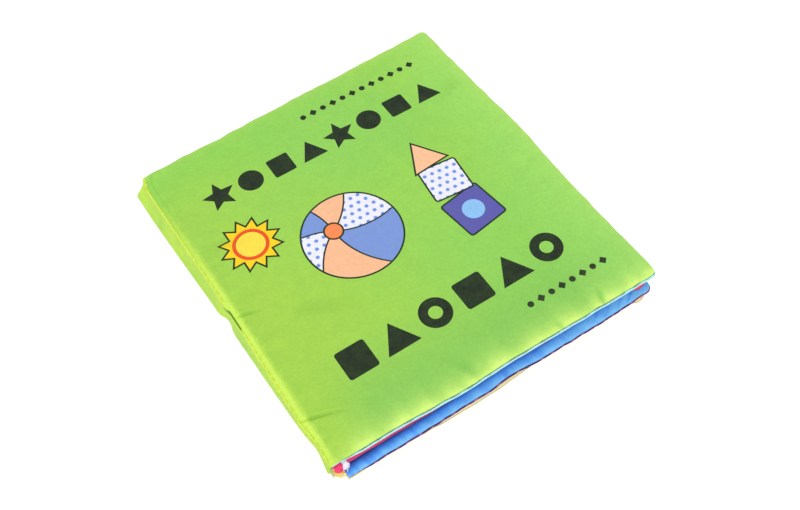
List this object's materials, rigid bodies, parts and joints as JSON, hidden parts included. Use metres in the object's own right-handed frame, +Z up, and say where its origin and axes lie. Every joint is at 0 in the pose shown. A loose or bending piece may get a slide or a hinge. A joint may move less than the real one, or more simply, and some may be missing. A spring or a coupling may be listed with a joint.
{
  "type": "crinkle cloth book",
  "caption": "Soft square cloth book with padded covers, a cloth spine and padded leaves that turn on sewn folds.",
  "frame": {"origin": "under the middle of the closed book, on the flat under its back cover", "axes": "+Z up through the closed book, +X from the spine to the fore edge, +Y from the tail of the pages to their head"},
  "size_m": [0.1877, 0.205, 0.0204],
  "materials": {
    "front_cover_cloth": "printed polyester cloth, mottled green",
    "back_cover_cloth": "printed polyester cloth, mottled green",
    "spine_cloth": "polyester cloth, light yellow-green, puckered along its seams",
    "front_lining_cloth": "polyester cloth, pale cyan",
    "back_lining_cloth": "polyester cloth, cream",
    "spine_lining_cloth": "polyester cloth, pale cyan",
    "pink_cloth": "polyester cloth, pink",
    "white_cloth": "polyester cloth, white",
    "blue_cloth": "polyester cloth, sky blue",
    "magenta_cloth": "polyester cloth, magenta",
    "yellow_cloth": "polyester cloth, yellow",
    "mint_cloth": "polyester cloth, mint green",
    "orange_cloth": "polyester cloth, orange",
    "foam": "soft white foam sheet",
    "crinkle_film": "thin clear film",
    "gold_thread": "gold polyester thread",
    "yellow_thread": "yellow polyester thread"
  },
  "bodies": {
    "back_cover": {"back_cover_lining": "back_lining_cloth", "back_cover_outer_fabric": "back_cover_cloth", "back_cover_foam": "foam", "back_cover_crinkle_film": "crinkle_film"},
    "spine": {"spine_outer_fabric": "spine_cloth", "spine_lining": "spine_lining_cloth", "outer_sheet_fold": "pink_cloth", "inner_sheet_fold": "white_cloth", "front_hinge_stitches": "gold_thread", "back_hinge_stitches": "gold_thread", "binding_stitches": "yellow_thread"},
    "front_cover": {"front_cover_outer_fabric": "front_cover_cloth", "front_cover_lining": "front_lining_cloth", "front_cover_foam": "foam", "front_cover_crinkle_film": "crinkle_film"},
    "leaf_1": {"leaf_1_front_fabric": "pink_cloth", "leaf_1_back_fabric": "white_cloth", "leaf_1_foam": "foam", "leaf_1_crinkle_film": "crinkle_film"},
    "leaf_2": {"leaf_2_front_fabric": "blue_cloth", "leaf_2_back_fabric": "magenta_cloth", "leaf_2_foam": "foam", "leaf_2_crinkle_film": "crinkle_film"},
    "leaf_3": {"leaf_3_front_fabric": "yellow_cloth", "leaf_3_back_fabric": "mint_cloth", "leaf_3_foam": "foam", "leaf_3_crinkle_film": "crinkle_film"},
    "leaf_4": {"leaf_4_front_fabric": "orange_cloth", "leaf_4_back_fabric": "yellow_cloth", "leaf_4_foam": "foam", "leaf_4_crinkle_film": "crinkle_film"}
  },
  "joints": [
    {"name": "spine_hinge", "type": "hinge", "parent": "back_cover", "child": "spine", "pos_m": [-0.0921, 0, 0.0018], "axis": [0, -1, 0], "range_deg": [0, 90]},
    {"name": "front_cover_hinge", "type": "hinge", "parent": "spine", "child": "front_cover", "pos_m": [-0.0921, 0, 0.0186], "axis": [0, -1, 0], "range_deg": [0, 90]},
    {"name": "leaf_1_hinge", "type": "hinge", "parent": "spine", "child": "leaf_1", "pos_m": [-0.0879, 0, 0.0156], "axis": [0, -1, 0], "range_deg": [0, 60]},
    {"name": "leaf_2_hinge", "type": "hinge", "parent": "spine", "child": "leaf_2", "pos_m": [-0.0879, 0, 0.0124], "axis": [0, -1, 0], "range_deg": [0, 30]},
    {"name": "leaf_3_hinge", "type": "hinge", "parent": "spine", "child": "leaf_3", "pos_m": [-0.0879, 0, 0.008], "axis": [0, -1, 0], "range_deg": [-30, 0]},
    {"name": "leaf_4_hinge", "type": "hinge", "parent": "spine", "child": "leaf_4", "pos_m": [-0.0879, 0, 0.0048], "axis": [0, -1, 0], "range_deg": [-60, 0]}
  ],
  "couplings": [
    {"joint": "leaf_1_hinge", "follows": "front_cover_hinge", "ratio": 0.6666},
    {"joint": "leaf_2_hinge", "follows": "front_cover_hinge", "ratio": 0.3333},
    {"joint": "leaf_3_hinge", "follows": "spine_hinge", "ratio": -0.3333},
    {"joint": "leaf_4_hinge", "follows": "spine_hinge", "ratio": -0.6666}
  ]
}
